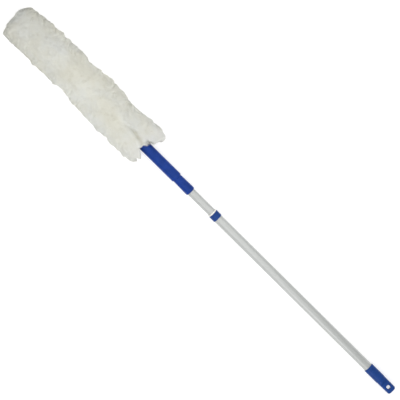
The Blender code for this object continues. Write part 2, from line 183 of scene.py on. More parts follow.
def tube_metal():
    """Drawn aluminium under a thin clear coat, with faint marks along the tube."""
    made, tree, shader = new_material("tube_metal", (0.5, 0.5, 0.5), 0.45, 0.30)
    streaks = noise_of(tree, stretched(tree, (0.03, 1, 1)), 900, 4, 0.6)
    greys = [(0.3, (0.424, 0.435, 0.424)), (0.7, (0.485, 0.497, 0.485))]
    vary(tree, shader, "Base Color", streaks, greys)
    vary(tree, shader, "Roughness", streaks, [(0.25, 0.36), (0.75, 0.48)])
    bump(tree, shader, streaks, 0.00001)
    return made


def nylon():
    made, tree, shader = new_material("natural_nylon", (0.8, 0.79, 0.74), 0.45)
    place = stretched(tree)
    creams = [(0.3, (0.76, 0.75, 0.69)), (0.7, (0.83, 0.82, 0.77))]
    vary(tree, shader, "Base Color", noise_of(tree, place, 90, 3), creams)
    bump(tree, shader, noise_of(tree, place, 1400, 2), 0.00003)
    return made


def zinc_steel():
    made, tree, shader = new_material("zinc_steel", (0.5, 0.5, 0.5), 0.3, 1.0)
    spots = noise_of(tree, stretched(tree), 700, 4)
    vary(tree, shader, "Base Color", spots, [(0.3, (0.44, 0.45, 0.47)), (0.7, (0.58, 0.58, 0.57))])
    vary(tree, shader, "Roughness", spots, [(0.3, 0.24), (0.7, 0.40)])
    return made


def core_foam():
    made, tree, shader = new_material("core_foam", (0.3, 0.31, 0.32), 0.9)
    cells = noise_of(tree, stretched(tree), 1100, 2, 0.6)
    vary(tree, shader, "Base Color", cells, [(0.35, (0.20, 0.21, 0.22)), (0.65, (0.34, 0.35, 0.36))])
    bump(tree, shader, cells, 0.0003)
    return made


def black_rubber():
    made, tree, shader = new_material("black_rubber", (0.03, 0.03, 0.03), 0.75)
    place = stretched(tree)
    vary(tree, shader, "Base Color", noise_of(tree, place, 400, 3), [(0.3, 0.022), (0.7, 0.045)])
    bump(tree, shader, noise_of(tree, place, 1500, 2), 0.00005)
    return made


def backing_cloth():
    """The knitted backing that the pile is rooted in: fine ribs along the sleeve."""
    made, tree, shader = new_material("backing_cloth", (0.72, 0.71, 0.66), 0.9)
    wave = add(tree, "ShaderNodeTexWave", Scale=260.0, Distortion=1.5, Detail=2.0)
    wave.bands_direction = "Y"
    tree.links.new(stretched(tree), wave.inputs["Vector"])
    ribs = wave.outputs["Fac"]
    vary(tree, shader, "Base Color", ribs, [(0.0, (0.60, 0.59, 0.54)), (1.0, (0.78, 0.77, 0.72))])
    bump(tree, shader, ribs, 0.0002)
    return made


def share_along(tree):
    """0 at the sleeve's tip and 1 half a metre along it."""
    place = add(tree, "ShaderNodeTexCoord")
    parts = add(tree, "ShaderNodeSeparateXYZ")
    tree.links.new(place.outputs["Object"], parts.inputs["Vector"])
    share = add(tree, "ShaderNodeMapRange")
    share.inputs["From Min"].default_value = TIP
    share.inputs["From Max"].default_value = TIP + 0.50
    tree.links.new(parts.outputs["X"], share.inputs["Value"])
    return share.outputs["Result"]


PILE_TINTS = [(0.38, (0.745, 0.738, 0.648)), (0.52, (0.755, 0.756, 0.685)), (0.66, (0.750, 0.760, 0.715))]
# painted shade along the sleeve: darker towards the tip, where the rounded end turns from the light, a little
# darker just before the mouth, and cooler at the mouth
PILE_SHADE_TO_TIP = [(0.0, 0.83), (0.25, 0.93), (0.55, 1.0), (0.88, 0.96), (1.0, (0.995, 1.0, 1.05))]
# painted shade in the fold and the pocket, together with each clump's own tone, darkens and warms the fibre
PILE_SHADE_AND_TONE = [(0.60, (0.62, 0.59, 0.47)), (0.96, (1.0, 1.0, 1.0))]


def pile_fibre(name, bumpy):
    """Off-white acrylic fibre, in wide patches of cream and cool white.

    It is painted darker towards the tip as painted shade. It is also darker and warmer where the mesh's
    attribute of painted shade and clump tone is low: painted shade in the fold and the pocket, and each
    clump's own random tone.
    """
    made, tree, shader = new_material(name, (0.85, 0.85, 0.81), 0.95)
    patches = noise_of(tree, stretched(tree, (1, 1.3, 1.3)), 13, 3, 0.55)
    colour = ramp(tree, patches, PILE_TINTS)
    # painted shade towards the tip, from the ramp along the sleeve
    fade = ramp(tree, share_along(tree), PILE_SHADE_TO_TIP)
    shade = add(tree, "ShaderNodeAttribute", attribute_name="shade", attribute_type="GEOMETRY")
    # painted shade in the fold and the pocket, and each clump's random tone, from the mesh's attribute
    shade_and_tone_colour = ramp(tree, shade.outputs["Fac"], PILE_SHADE_AND_TONE)
    for layer in (fade, shade_and_tone_colour):
        mix = add(tree, "ShaderNodeMix", data_type="RGBA", blend_type="MULTIPLY")
        mix.inputs["Factor"].default_value = 1.0
        tree.links.new(colour, mix.inputs["A"])
        tree.links.new(layer, mix.inputs["B"])
        colour = mix.outputs["Result"]
    tree.links.new(colour, shader.inputs["Base Color"])
    shader.inputs["Specular IOR Level"].default_value = 0.2
    shader.inputs["Sheen Weight"].default_value = 0.2
    shader.inputs["Sheen Roughness"].default_value = 0.6
    if bumpy:
        bump(tree, shader, noise_of(tree, stretched(tree, (0.6, 1, 1)), 700, 5, 0.65), 0.0004)
    return made


HANDLE_BLUE = blue_plastic("handle_blue", (0.0042, 0.032, 0.202), (0.0070, 0.041, 0.256))
POLE_BLUE = blue_plastic("pole_blue", (0.0088, 0.042, 0.188), (0.0122, 0.053, 0.236))
TUBE = tube_metal()
NYLON = nylon()
STEEL = zinc_steel()
FOAM = core_foam()
RUBBER = black_rubber()
BACKING = backing_cloth()
PILE = pile_fibre("pile_fibre", True)
TUFT = pile_fibre("pile_tuft", False)


# ---------------------------------------------------------------- meshes
def mesh_object(name, points, faces, material):
    """A mesh object from an array of points and a list of face arrays (n, 3) or (n, 4)."""
    mesh = bpy.data.meshes.new(name)
    corners = np.concatenate([f.ravel() for f in faces]).astype(np.int32)
    sizes = np.concatenate([np.full(len(f), f.shape[1]) for f in faces])
    starts = np.concatenate([[0], np.cumsum(sizes)[:-1]]).astype(np.int32)
    mesh.vertices.add(len(points))
    mesh.vertices.foreach_set("co", np.asarray(points, np.float32).ravel())
    mesh.loops.add(len(corners))
    mesh.loops.foreach_set("vertex_index", corners)
    mesh.polygons.add(len(sizes))
    mesh.polygons.foreach_set("loop_start", starts)
    mesh.update(calc_edges=True)
    mesh.validate()
    mesh.materials.append(material)
    made = bpy.data.objects.new(name, mesh)
    bpy.context.scene.collection.objects.link(made)
    return made


def grid_faces(rows, columns, first=0, flip=False):
    """Quads of a grid that is closed round its columns."""
    i, j = np.meshgrid(np.arange(rows - 1), np.arange(columns), indexing="ij")
    k = (j + 1) % columns
    quads = np.stack([i * columns + j, i * columns + k, (i + 1) * columns + k, (i + 1) * columns + j], -1)
    quads = quads.reshape(-1, 4) + first
    return quads[:, ::-1] if flip else quads


def signed_volume(made):
    mesh = made.data
    mesh.calc_loop_triangles()
    points = np.empty(len(mesh.vertices) * 3, np.float32)
    mesh.vertices.foreach_get("co", points)
    points = points.reshape(-1, 3).astype(float)
    corners = np.empty(len(mesh.loop_triangles) * 3, np.int32)
    mesh.loop_triangles.foreach_get("vertices", corners)
    a, b, c = (points[corners.reshape(-1, 3)[:, i]] for i in range(3))
    return float(np.einsum("ij,ij->i", a, np.cross(b, c)).sum() / 6)


def facing_out(made):
    """Turns a closed piece's faces outwards."""
    if signed_volume(made) < 0:
        made.data.flip_normals()
    return made


def softened(made, degrees=35):
    """Shades smoothly, apart from edges sharper than that."""
    made.data.shade_smooth()
    made.data.set_sharp_from_angle(angle=math.radians(degrees))
    return made


def filled(made, triangulate=False):
    """Closes a piece's open ends."""
    work = bmesh.new()
    work.from_mesh(made.data)
    bmesh.ops.holes_fill(work, edges=work.edges, sides=0)
    if triangulate:
        bmesh.ops.triangulate(work, faces=[f for f in work.faces if len(f.verts) > 4])
    bmesh.ops.recalc_face_normals(work, faces=work.faces)
    work.to_mesh(made.data)
    work.free()
    return made


def apply_modifiers(made):
    seen = made.evaluated_get(bpy.context.evaluated_depsgraph_get())
    mesh = bpy.data.meshes.new_from_object(seen)
    made.modifiers.clear()
    made.data = mesh
    return made


def angles_round(sides):
    return TAU * np.arange(sides) / sides


def rings_object(name, xs, radii, material, closed, sides=SIDES):
    """A piece about the pole's axis, from rings at xs.

    radii holds one radius for each ring, or one for each of its sides too. A closed piece is a ring
    whose last row meets its first. An open one has its ends filled.
    """
    xs = np.asarray(xs, float)
    radii = np.asarray(radii, float)
    if radii.ndim == 1:
        radii = np.repeat(radii[:, None], sides, 1)
    angles = angles_round(sides)
    along = np.repeat(xs[:, None], sides, 1)
    points = np.stack([along, radii * np.cos(angles), AXIS_Z + radii * np.sin(angles)], -1).reshape(-1, 3)
    rows = len(xs)
    last = (rows - 1) * sides
    j = np.arange(sides)
    k = (j + 1) % sides
    faces = [grid_faces(rows, sides)]
    if closed:
        faces.append(np.stack([last + j, last + k, k, j], -1))
    else:
        points = np.concatenate([points, [[xs[0], 0, AXIS_Z], [xs[-1], 0, AXIS_Z]]])
        centre = rows * sides
        faces.append(np.stack([k, j, np.full(sides, centre)], -1))
        faces.append(np.stack([last + j, last + k, np.full(sides, centre + 1)], -1))
    return softened(facing_out(mesh_object(name, points, faces, material)))


def rounded(profile, radius, closed=True):
    """An (x, r) profile with each corner turned into a small arc. An open one keeps its two ends."""
    profile = np.array(profile, float)
    count = len(profile)
    out = []
    for i, here in enumerate(profile):
        if not closed and i in (0, count - 1):
            out.append(here)
            continue
        to_before, to_after = profile[i - 1] - here, profile[(i + 1) % count] - here
        reach = min(radius, 0.45 * np.linalg.norm(to_before), 0.45 * np.linalg.norm(to_after))
        first = here + to_before / np.linalg.norm(to_before) * reach
        last = here + to_after / np.linalg.norm(to_after) * reach
        for t in np.linspace(0, 1, 4):
            out.append((1 - t) ** 2 * first + 2 * t * (1 - t) * here + t * t * last)
    return np.array(out)


def turned(name, profile, material):
    """A hollow piece from a closed (x, r) profile."""
    return rings_object(name, profile[:, 0], profile[:, 1], material, True)


def stand_in(made, node, body):
    """Shows made instead of a CAD node."""
    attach(made, body)
    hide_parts(node)
    return made


# ---------------------------------------------------------------- the tubes, collar and screwed joint
def tube(name, node, body, radius, wall):
    start, end, _ = span(node)
    inner = radius - wall
    profile = rounded([(start, inner), (start, radius), (end, radius), (end, inner)], 0.25 * MM)
    return stand_in(turned(name, profile, TUBE), node, body)


def thread_height(x, angles, start, end):
    """0 at a thread's root and 1 at its crest, for rings at x, fading out at both ends."""
    turn = (x[:, None] / THREAD_PITCH + angles[None, :] / TAU) % 1.0
    form = np.clip((0.5 - np.abs(turn - 0.5)) * 5 - 0.75, 0, 1)
    fade = smooth((x - start) / (0.5 * THREAD_PITCH)) * smooth((end - x) / (0.35 * THREAD_PITCH))
    return form * fade[:, None]


def make_tubes():
    tube("outer_tube_drawn", "outer_tube", "outer_pole", OUTER_R, OUTER_WALL)
    tube("inner_tube_drawn", "inner_tube", "inner_pole", INNER_R, INNER_WALL)


def make_collar():
    start, end, _ = span("collar")
    bore = OUTER_R + GAP
    profile = rounded(
        [
            (start, bore),
            (start, COLLAR_R - 0.6 * MM),
            (start + 0.8 * MM, COLLAR_R),
            (end - 0.8 * MM, COLLAR_R),
            (end, COLLAR_R - 0.6 * MM),
            (end, bore),
        ],
        0.5 * MM,
    )
    stand_in(turned("collar_moulded", profile, POLE_BLUE), "collar", "outer_pole")


def make_collar_bush():
    start, end, lip_r = span("collar_bush")
    bore, lip_end = INNER_R + GAP, span("collar")[0] - GAP
    profile = rounded(
        [
            (start, bore),
            (start, lip_r),
            (lip_end, lip_r),
            (lip_end, OUTER_R),
            (end, OUTER_R),
            (end, bore),
        ],
        0.3 * MM,
    )
    made = turned("collar_bush_moulded", profile, NYLON)
    stand_in(made, "collar_bush", "outer_pole")


def make_grip():
    """The handle: a bore for the neck clamp, a web with a hole in it, and a bore for the thread bush."""
    start, end, _ = span("handle_grip")
    neck_bore, bush_bore = span("neck_clamp_top")[2] + GAP, span("thread_bush")[2] + GAP
    web = span("neck_clamp_top")[1] + 1.0 * MM
    web_end, web_bore = web + 5.0 * MM, 6.0 * MM
    profile = rounded(
        [
            (start, neck_bore),
            (start, GRIP_R - 1.0 * MM),
            (start + 0.6 * MM, GRIP_R),
            (end - 0.5 * MM, GRIP_R),
            (end, GRIP_R - 0.5 * MM),
            (end, bush_bore),
            (web_end, bush_bore),
            (web_end, web_bore),
            (web, web_bore),
            (web, neck_bore),
        ],
        0.6 * MM,
    )
    stand_in(turned("handle_grip_moulded", profile, HANDLE_BLUE), "handle_grip", "wand")


def make_thread_bush():
    """A plain ring outside, with the female thread cut in its bore."""
    start, end, radius = span("thread_bush")
    bore, chamfer, depth = STUD_R + 0.4 * MM, 0.4 * MM, 1.2 * MM
    inside = np.arange(end - 0.3 * MM, start + 0.3 * MM, -0.25 * MM)
    crests = thread_height(inside, angles_round(SIDES), start, end + THREAD_PITCH)
    groove = bore + depth * (1 - crests) * np.minimum(1, (end - inside[:, None]) / depth)
    xs = np.concatenate([[start, start, start + chamfer, end - chamfer, end, end], inside])
    outside = [bore, radius - chamfer, radius, radius, radius - chamfer, bore + 0.6 * MM]
    radii = np.concatenate([np.outer(outside, np.ones(SIDES)), groove])
    made = rings_object("thread_bush_tapped", xs, radii, NYLON, True)
    stand_in(made, "thread_bush", "wand")


def make_adapter():
    """The threaded stud, the tapered body behind it and the socket that the inner tube stands in."""
    stud_start, end, _ = span("tip_adapter")
    shoulder = stud_start + STUD_LENGTH
    bore, socket_end = INNER_R + GAP, span("inner_tube")[0] - GAP
    xs = np.arange(stud_start + 0.2 * MM, shoulder, 0.22 * MM)
    root = STUD_R - 1.7 * MM
    stud = root + (STUD_R - root) * thread_height(xs, angles_round(SIDES), stud_start, shoulder)
    stud *= (1 - 0.12 * np.clip(1 - (xs - stud_start) / (1.5 * MM), 0, 1) ** 2)[:, None]
    body = rounded(
        [
            (shoulder, root),
            (shoulder, ADAPTER_R - 1.4 * MM),
            (shoulder + 0.5 * MM, ADAPTER_R - 1.0 * MM),
            (end - 12.0 * MM, ADAPTER_R),
            (end - 2.4 * MM, ADAPTER_R),
            (end - 0.8 * MM, ADAPTER_R - 0.7 * MM),
            (end, ADAPTER_R - 1.5 * MM),
            (end, bore),
            (socket_end, bore),
        ],
        0.6 * MM,
        closed=False,
    )
    xs = np.concatenate([[stud_start], xs, body[:, 0]])
    nose = np.full((1, SIDES), root - 1.5 * MM)
    radii = np.concatenate([nose, stud, np.outer(body[:, 1], np.ones(SIDES))])
    made = rings_object("tip_adapter_moulded", xs, radii, HANDLE_BLUE, False)
    stand_in(made, "tip_adapter", "inner_pole")


# ---------------------------------------------------------------- the end cap
CAP_SIDES = 120
WAIST_LENGTH, END_CORNER = 43.5 * MM, 4.0 * MM
FLAT_LENGTH, FLAT_RUN, FLAT_HALF_HEIGHT = 41 * MM, 11 * MM, 8.5 * MM
HOLE_FROM_END, HOLE_HALF_LENGTH, HOLE_HALF_WIDTH, HOLE_CORNER = 15.5 * MM, 5.8 * MM, 4.6 * MM, 3.2 * MM
HOLE_FLARE = ((-20, 2.2), (-9.4, 2.2), (-8.7, 0.9), (-8.2, 0.3), (-7.4, 0.0))  # (height, growth) in mm


def cap_rings():
    """(xs, radii) of the cap's rings while it is still round: socket, outside, waist and rounded end."""
    start, end, _ = span("end_cap")
    socket_end, bore = span("outer_tube")[1] + GAP, OUTER_R + GAP
    waist, waist_r, end_r = end - WAIST_LENGTH, CAP_R - 0.7 * MM, CAP_R - 1.1 * MM
    profile = [
        (socket_end, bore),
        (start, bore),
        (start, CAP_R - 0.6 * MM),
        (start + 0.7 * MM, CAP_R),
        (waist - 4.0 * MM, CAP_R),
        (waist, waist_r),
    ]
    profile = rounded(profile, 0.6 * MM, closed=False)
    xs = list(profile[:, 0])
    radii = list(profile[:, 1])
    xs += list(np.linspace(waist + 2 * MM, end - END_CORNER, 24))
    radii += [waist_r + (end_r - waist_r) * i / 23 for i in range(24)]
    for turn in np.linspace(0, 0.5 * math.pi, 9)[1:]:
        xs.append(end - END_CORNER + END_CORNER * math.sin(turn))
        radii.append(end_r - END_CORNER + END_CORNER * math.cos(turn))
    return np.array(xs), np.array(radii)


def flattened(xs, radii):
    """The rings pressed flat above and below over the last part of the cap."""
    flat_start = span("end_cap")[1] - FLAT_LENGTH
    steep = np.maximum(np.abs(np.sin(angles_round(CAP_SIDES))), 1e-6)
    along = smooth((xs - flat_start) / FLAT_RUN)
    half_height = CAP_R * 1.02 + (FLAT_HALF_HEIGHT - CAP_R * 1.02) * along
    limit = half_height[:, None] / steep[None, :]
    outer = np.repeat(radii[:, None], CAP_SIDES, 1)
    softness = 40.0
    pressed = (outer**-softness + limit**-softness) ** (-1 / softness)
    return np.where((xs > flat_start)[:, None], pressed, outer)


def hang_hole_cutter():
    """A rounded rectangle through the flat end, flaring at both faces."""
    middle = Vector((span("end_cap")[1] - HOLE_FROM_END, 0, 0))
    half = Vector((HOLE_HALF_LENGTH, HOLE_HALF_WIDTH, 0))
    outline = []
    for cx, cy, first in ((1, 1, 0), (-1, 1, 90), (-1, -1, 180), (1, -1, 270)):
        for step in range(9):
            turn = math.radians(first + 90 * step / 8)
            x, y = cx * (half.x - HOLE_CORNER), cy * (half.y - HOLE_CORNER)
            outline.append((x, y, math.cos(turn), math.sin(turn)))
    levels = list(HOLE_FLARE)
    levels += [(-z, grow) for z, grow in reversed(levels)]
    points = []
    for z, grow in levels:
        reach, height = HOLE_CORNER + grow * MM, AXIS_Z + z * MM
        points += [(middle.x + x + reach * c, middle.y + y + reach * s, height) for x, y, c, s in outline]
    faces = [grid_faces(len(levels), len(outline))]
    return filled(mesh_object("hang_hole_cutter", points, faces, POLE_BLUE))


def make_cap():
    xs, radii = cap_rings()
    made = rings_object("end_cap_moulded", xs, flattened(xs, radii), POLE_BLUE, False, CAP_SIDES)
    cutter = hang_hole_cutter()
    boolean = made.modifiers.new("hang_hole", "BOOLEAN")
    boolean.operation = "DIFFERENCE"
    boolean.object = cutter
    boolean.solver = "EXACT"
    apply_modifiers(made)
    bpy.data.objects.remove(cutter)
    softened(made, 32)
    stand_in(made, "end_cap", "outer_pole")


# ---------------------------------------------------------------- the sleeve's shape
# (distance from the sleeve's tip, half width) in metres. 1 is the right side, and -1 the left.
HALF_WIDTH = {
    1: (
        (0.00, 0.051), (0.06, 0.053), (0.12, 0.0575), (0.19, 0.0605), (0.22, 0.062), (0.245, 0.057),
        (0.285, 0.061), (0.33, 0.062), (0.365, 0.064), (0.392, 0.0575), (0.415, 0.0565), (0.46, 0.062),
        (0.485, 0.0635), (0.505, 0.0635), (0.54, 0.064),
    ),
    -1: (
        (0.00, 0.0525), (0.05, 0.055), (0.10, 0.053), (0.15, 0.0545), (0.20, 0.0525), (0.245, 0.0485),
        (0.29, 0.0555), (0.34, 0.0585), (0.40, 0.059), (0.42, 0.0555), (0.44, 0.059), (0.48, 0.0575),
        (0.54, 0.0525),
    ),
}
# (y, distance of the mouth's ragged edge from the tip)
MOUTH_EDGE = (
    (-0.064, 0.492), (-0.059, 0.506), (-0.0545, 0.5180), (-0.050, 0.512), (-0.043, 0.5095), (-0.040, 0.508),
    (-0.0375, 0.5165), (-0.032, 0.519), (-0.0245, 0.514), (-0.018, 0.5075), (-0.0125, 0.4965), (0.0, 0.4965),
    (0.0105, 0.4965), (0.0140, 0.5010), (0.0165, 0.5170), (0.030, 0.5195), (0.042, 0.5230), (0.052, 0.5280),
    (0.058, 0.5305), (0.0625, 0.525), (0.066, 0.508),
)
# (distance from the tip, y of the fold's middle)
FOLD_MIDDLE = (
    (0.375, 0.001), (0.404, 0.002), (0.426, 0.004), (0.446, 0.0075), (0.459, 0.0065), (0.476, 0.0025),
    (0.496, 0.000),
)
MOUTH_MIDDLE = 0.4965
SLEEVE_ABOVE, SLEEVE_BELOW = 0.0270, AXIS_Z - 0.0012
POCKET_HALF_WIDTH, POCKET_HALF_HEIGHT = 0.0405, 0.0082
PILE_TIP, POCKET_TIP = 0.0092, 0.0135
CLOTH_THICK = 0.0012
PILE_PROUD = 0.0018  # how far the surface starts behind the tip, to leave room for the locks on it
LOCK_LENGTH, SCALLOP = 0.0290, 0.0098  # of the big locks that step along each side
RIM, RIM_ACROSS = 0.012, 0.006  # how wide the rounded rim of the mouth is, along and across
STRETCH, SHIFT = (0.85, 1.0, 1.0), 0.31  # of the space that the lumps are drawn in
ROWS, COLUMNS = 330, 220
PILE_INNER_ROWS, CLOTH_ROWS = 120, 150


def end_rounding(along, length, power):
    """From 0 at the closed tip to 1 at that length from it."""
    left = np.clip(1 - along / length, 0, 1)
    return np.sqrt(np.clip(1 - left**power, 0, 1))


def outer_section(along, angle):
    """(y, height from the axis) of the pile's smooth outside: flat below, and crowned above."""
    width = np.where(np.cos(angle) >= 0, eased(along, HALF_WIDTH[1]), eased(along, HALF_WIDTH[-1]))
    width = width * end_rounding(along - PILE_TIP, 0.028, 3.0)
    above = np.sin(angle) >= 0
    height = np.where(above, SLEEVE_ABOVE, SLEEVE_BELOW) * end_rounding(along - PILE_TIP, 0.026, 2.4)
    power = np.where(above, 0.8, 0.55)
    return width * signed_power(np.cos(angle), 0.8), height * signed_power(np.sin(angle), power)


def pocket_section(along, angle, thick=0.0):
    """(y, height from the axis) of the core's pocket, which opens out round the neck clamp."""
    opening = smooth((along - (MOUTH_MIDDLE - 0.034)) / 0.024)
    rounding = end_rounding(along, 0.042, 2.2)
    width = (POCKET_HALF_WIDTH + 0.002 * opening) * rounding + thick
    height = POCKET_HALF_HEIGHT * end_rounding(along, 0.042, 6.0) + thick
    y = width * signed_power(np.cos(angle), 0.5)
    bulge = 0.0052 * opening * smooth((0.028 - np.abs(y)) / 0.014)
    return y, height * signed_power(np.sin(angle), 0.5) + bulge * np.sin(angle)


def mouth_edge(y):
    return eased(y, MOUTH_EDGE)


def inside_mouth(along, y, rim):
    """0 at the mouth's edge and 1 a rim's width inside it, both along the sleeve and across it."""
    asides = np.linspace(-RIM_ACROSS, RIM_ACROSS, 9)
    shares = [(mouth_edge(y + aside) - along) / rim + abs(aside) / RIM_ACROSS for aside in asides]
    return np.clip(np.min(shares, 0), 0, 1)


def down_rows(rows):
    """Each row's share of the way from the tip to the mouth."""
    return (np.arange(rows) / (rows - 1))[:, None]


def round_columns():
    """Each column's angle, and how far from the tip the mouth's edge is there."""
    angle = (TAU * (np.arange(COLUMNS) + 0.5) / COLUMNS)[None, :]
    at_mouth = outer_section(np.full_like(angle, MOUTH_MIDDLE), angle)[0]
    return angle, mouth_edge(at_mouth)


def along_sleeve(share, edge):
    """Distance from the tip for a share of a column that ends at edge. Rows crowd at the tip."""
    plain = (MOUTH_MIDDLE - PILE_TIP) * share * share / (share + 0.05) * 1.05
    return PILE_TIP + plain + (edge - MOUTH_MIDDLE) * smooth((share - 0.86) / 0.14)


def normals_of(grid):
    """Outward normals of a grid of points that is closed round its columns."""
    down = np.gradient(grid, axis=0)
    round_ = np.roll(grid, -1, 1) - np.roll(grid, 1, 1)
    return unit(np.cross(round_, down))


def lumps(points, size):
    """1 in the middle of each lump and 0 in the creases between them."""
    def height(p):
        near = noise.voronoi(p / size)[0]
        return near[1] - near[0]

    return smooth(sampled(height, points) / 0.75)


def shingles(along, points):
    """Overlapping locks along the edges: each rises towards the mouth, then drops to the next."""
    wander = sampled(lambda p: noise.noise(p / 0.036), points)
    proud = 0.55 + 0.6 * sampled(lambda p: noise.noise(p / 0.030 + Vector((3, 0, 0))), points)
    rise = 0
    for share, length in ((1.0, LOCK_LENGTH), (0.4, 0.43 * LOCK_LENGTH)):
        turn = (along / length + 1.1 * wander * LOCK_LENGTH / length) % 1.0
        rise = rise + share * turn * (1 - smooth((turn - 0.64) / 0.36))
    return rise * np.clip(proud, 0.15, 1)


def crease(along, y):
    """How deep the fold is that runs down to the handle, just right of the middle."""
    depth = 0.0014 * smooth((along - 0.375) / 0.03) + 0.0042 * smooth((along - 0.420) / 0.035)
    width = 0.0050 + 0.0012 * smooth((along - 0.45) / 0.03)
    return depth * np.exp(-(((y - eased(along, FOLD_MIDDLE)) / width) ** 2))


def pile_surface():
    """The lumpy outside of the pile as a grid of points, and the painted shade of each: 1, and less along the
    fold.
    """
    angle, edge = round_columns()
    along = along_sleeve(down_rows(ROWS), edge)
    start = PILE_PROUD * (1 - smooth(along / 0.08))
    y, height = outer_section(along, angle)

    # The smooth body, rounded in towards the pocket at the mouth.
    inner_y, inner_height = pocket_section(along, angle, CLOTH_THICK + 0.4 * MM)
    rim = RIM - 0.005 * smooth(np.maximum((-y - 0.020) / 0.02, (y - 0.006) / 0.008))
    to_edge = inside_mouth(along, y, rim)
    full = 0.12 + 0.88 * np.sqrt(1 - (1 - to_edge) ** 2)
    across = inner_y + (y - inner_y) * full
    up = AXIS_Z + inner_height + (height - inner_height) * full
    body = np.stack([TIP + along + start, across, up], -1)
    normal = normals_of(body)
    normal[0] = (-1, 0, 0)

    # Lumps of pile on it, with big locks along the sides and a ragged tip. It lies flat on the floor.
    space = body * STRETCH
    big = lumps(space, 0.034)
    middle = lumps(space + SHIFT, 0.0135)
    wander = sampled(lambda p: noise.fractal(p / 0.045, 1.0, 2.0, 2), body)
    side = smooth((np.abs(np.cos(angle)) - 0.35) / 0.55)
    rise = 0.0010 * (big - 0.5) + (0.0005 + 0.0006 * side) * (middle - 0.6) + 0.0011 * wander
    plain_end = smooth((0.512 - along) / 0.024)
    rise += SCALLOP * side * plain_end * (shingles(along, body) - 0.30)
    rise += 0.0024 * smooth((PILE_TIP + 0.022 - along) / 0.014) * (big - 0.6)
    free = smooth((body[..., 2] - 0.004) / 0.012)
    rise = rise * free
    rise = rise * (0.35 + 0.65 * to_edge)
    grid = body + normal * rise[..., None]

    fold = crease(along, y) * (np.sin(angle) > 0)
    grid[..., 2] -= fold * to_edge
    grid[..., 2] = np.maximum(grid[..., 2], 0.5 * MM + 0.3 * MM * middle)
    # painted shade: the fibre is darker along the fold's crease
    light = 1.0 - 0.17 * np.clip(fold / 0.0056, 0, 1)
    return grid, light


def pocket_grid(rows, thick):
    """The pocket as a grid of points, for a wall of that thickness outside it."""
    share = down_rows(rows)
    angle, edge = round_columns()
    along = POCKET_TIP - thick + np.maximum(share, 1e-4) ** 1.6 * (MOUTH_MIDDLE - POCKET_TIP + thick)
    along = along + (edge - MOUTH_MIDDLE) * smooth((share - 0.8) / 0.2)
    y, height = pocket_section(along - POCKET_TIP + thick, angle, thick)
    return np.stack([TIP + along, y, AXIS_Z + height], -1)


def closed_shell(outer, inner):
    """Points and faces of a closed body between two grids that share a mouth, each closed at its tip."""
    rows, columns = outer.shape[:2]
    count = rows * columns
    points = np.concatenate([outer.reshape(-1, 3), inner.reshape(-1, 3)])
    j = np.arange(columns)
    k = (j + 1) % columns
    last = (rows - 1) * columns
    inner_last = count + (inner.shape[0] - 1) * columns
    rim = np.stack([last + j, last + k, inner_last + k, inner_last + j], -1)
    faces = [grid_faces(rows, columns), grid_faces(inner.shape[0], columns, count, True), rim]
    tips = np.array([outer[0].mean(0), inner[0].mean(0)])
    points = np.concatenate([points, tips])
    faces.append(np.stack([k, j, np.full(columns, len(points) - 2)], -1))
    faces.append(np.stack([count + j, count + k, np.full(columns, len(points) - 1)], -1))
    return points, faces


def shell_object(name, outer, inner, material):
    points, faces = closed_shell(outer, inner)
    made = mesh_object(name, points, faces, material)
    made.data.shade_smooth()
    return facing_out(made)


def with_light(made, values):
    """Gives a mesh its attribute of painted shade and clump tone, which the pile's material reads."""
    layer = made.data.attributes.new("shade", "FLOAT", "POINT")
    layer.data.foreach_set("value", np.asarray(values, np.float32).ravel())
    return made


# ---------------------------------------------------------------- the locks of pile on it
TUFTS, TUFT_PIECES, FRINGE_LOCKS = 66000, 6, 1500
CLUMP = 0.0090  # between the middles of clumps of locks
# painted shade on the pile's inside, in the pocket
POCKET_SHADE = 0.8
LOCK_SHARES, LOCK_WIDTHS = (0.0, 0.38, 0.74), (1.0, 0.86, 0.52)  # of a lock's three rings
LOCK_TRIANGLES = [(6, 7, 9), (7, 8, 9), (8, 6, 9), (2, 1, 0)]


def surface_samples(grid, count, random):
    """Places spread evenly over a grid's surface, as (row, column, share down, share round)."""
    following = np.roll(grid, -1, 1)
    across = following[:-1] - grid[:-1]
    down = grid[1:] - grid[:-1]
    areas = np.linalg.norm(np.cross(across, down), axis=-1).ravel()
    picked = random.choice(len(areas), count, p=areas / areas.sum())
    return picked // grid.shape[1], picked % grid.shape[1], random.random(count), random.random(count)


def on_grid(grid, rows, columns, down, round_):
    """The grid's values at those places."""
    after = (columns + 1) % grid.shape[1]
    extra = (None,) * (grid.ndim - 2)
    u, v = down[(..., *extra)], round_[(..., *extra)]
    upper = grid[rows, columns] * (1 - v) + grid[rows, after] * v
    lower = grid[rows + 1, columns] * (1 - v) + grid[rows + 1, after] * v
    return upper * (1 - u) + lower * u


